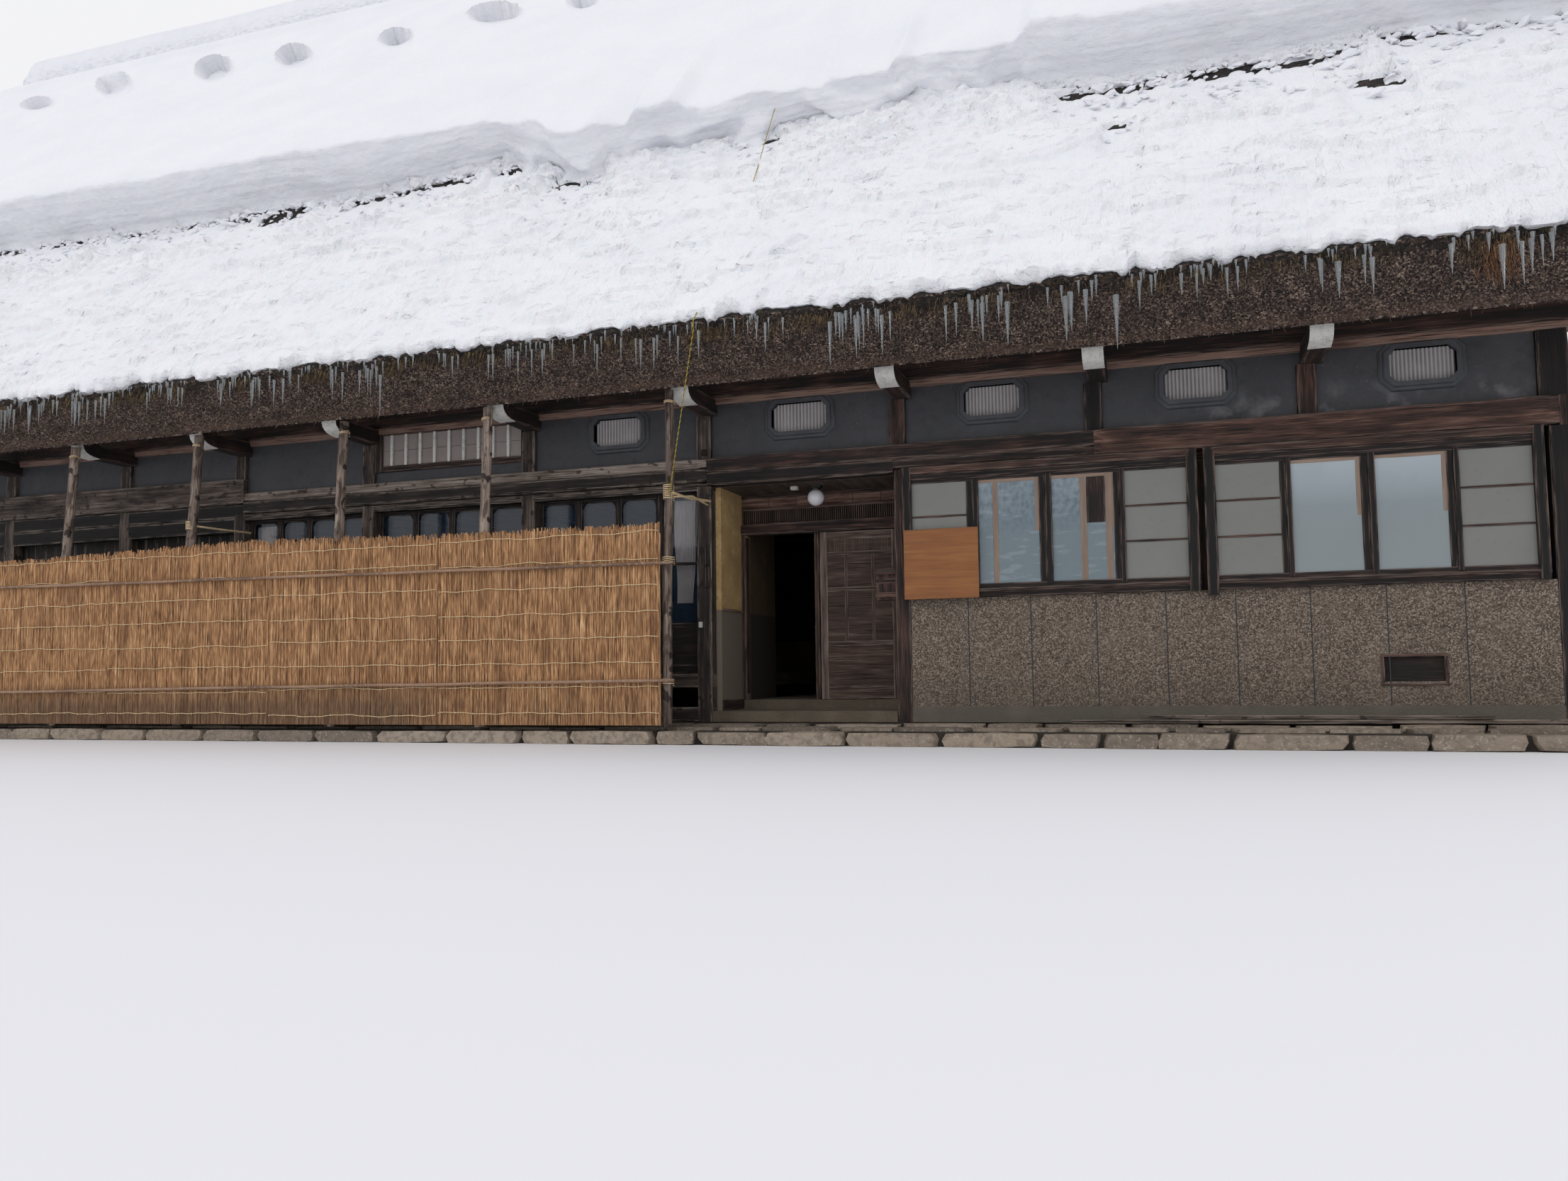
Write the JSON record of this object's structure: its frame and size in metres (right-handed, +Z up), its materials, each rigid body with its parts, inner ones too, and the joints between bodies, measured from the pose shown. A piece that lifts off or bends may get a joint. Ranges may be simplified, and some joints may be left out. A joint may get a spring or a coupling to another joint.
{
  "type": "minka farmhouse",
  "caption": "Long timber farmhouse with a steep snow-covered thatched roof, deep eaves, a window wall, a sliding entrance door and a reed snow screen.",
  "frame": {"origin": "on the ground under the middle of the house's outer box", "axes": "+X along the front wall and the ridge, to the right seen from the front; +Y into the house; +Z up"},
  "size_m": [28.5972, 15.9856, 13.95],
  "materials": {
    "old_cedar": "dark, smoked and weathered",
    "grey_cedar": "silvered by weather",
    "boards": "plain sawn, aged",
    "log_wood": "debarked pole, weathered",
    "sign_wood": "oiled, orange brown",
    "bamboo": "dry bamboo pole",
    "reed": "dry reed mat",
    "thatch": "cut reed thatch, aged",
    "slate_plaster": "dark trowelled plaster",
    "ochre_plaster": "earth plaster",
    "clay_plaster": "clay plaster",
    "aggregate_render": "exposed aggregate render",
    "packed_earth": "beaten earth",
    "stone": "rounded flat stones",
    "window_glass": "clear and frosted",
    "lamp_glass": "opal white",
    "curtain_cloth": "thin woven cotton",
    "rope": "yellow and black twisted rope",
    "snow": "settled snow"
  },
  "bodies": {
    "house": {"stone_plinth": "stone", "hall_floor": "packed_earth", "room_floor_left": "boards", "room_floor_right": "boards", "attic_floor": "old_cedar", "beam_left_end": "grey_cedar", "beam_left": "grey_cedar", "beam_middle": "old_cedar", "beam_right": "old_cedar", "wall_plate_front": "old_cedar", "wall_plate_back": "old_cedar", "purlin_front": "old_cedar", "purlin_back": "old_cedar", "front_frame_left": "grey_cedar", "veranda_glass_doors": "window_glass", "rain_shutters": "boards", "veranda_curtain": "curtain_cloth", "front_frame_right": "old_cedar", "aggregate_wall": "aggregate_render", "window_frame_left": "old_cedar", "window_glass_left": "window_glass", "window_frame_right": "old_cedar", "window_glass_right": "window_glass", "plaster_band_left": "slate_plaster", "plaster_band_right": "slate_plaster", "band_glass_left": "window_glass", "band_glass_right": "window_glass", "entrance_side_wall_left": "ochre_plaster", "entrance_side_wall_right": "old_cedar", "entrance_transom": "old_cedar", "entrance_soffit": "boards", "entrance_fixed_leaf": "old_cedar", "globe_lamp": "lamp_glass", "mailbox": "boards", "name_board": "sign_wood", "screen_posts": "log_wood", "reed_screen": "reed", "screen_rail_lower": "bamboo", "screen_rail_upper": "bamboo", "back_frame": "old_cedar", "back_wall": "clay_plaster", "back_glass": "window_glass", "gable_frame_left": "old_cedar", "gable_wall_left": "clay_plaster", "gable_glass_left": "window_glass", "gable_frame_right": "old_cedar", "gable_wall_right": "clay_plaster", "gable_glass_right": "window_glass", "thatch_front": "thatch", "thatch_back": "thatch", "eave_bed_front": "boards", "eave_bed_back": "boards", "ridge_cover": "thatch", "roof_snow_front": "snow", "roof_snow_back": "snow", "roof_snow_ridge": "snow", "roof_rope": "rope"},
    "sliding_door": {"entrance_door": "old_cedar"}
  },
  "joints": [
    {"name": "entrance_door_slide", "type": "slide", "parent": "house", "child": "sliding_door", "axis": [-1, 0, 0], "range_m": [0, 0.865]}
  ]
}
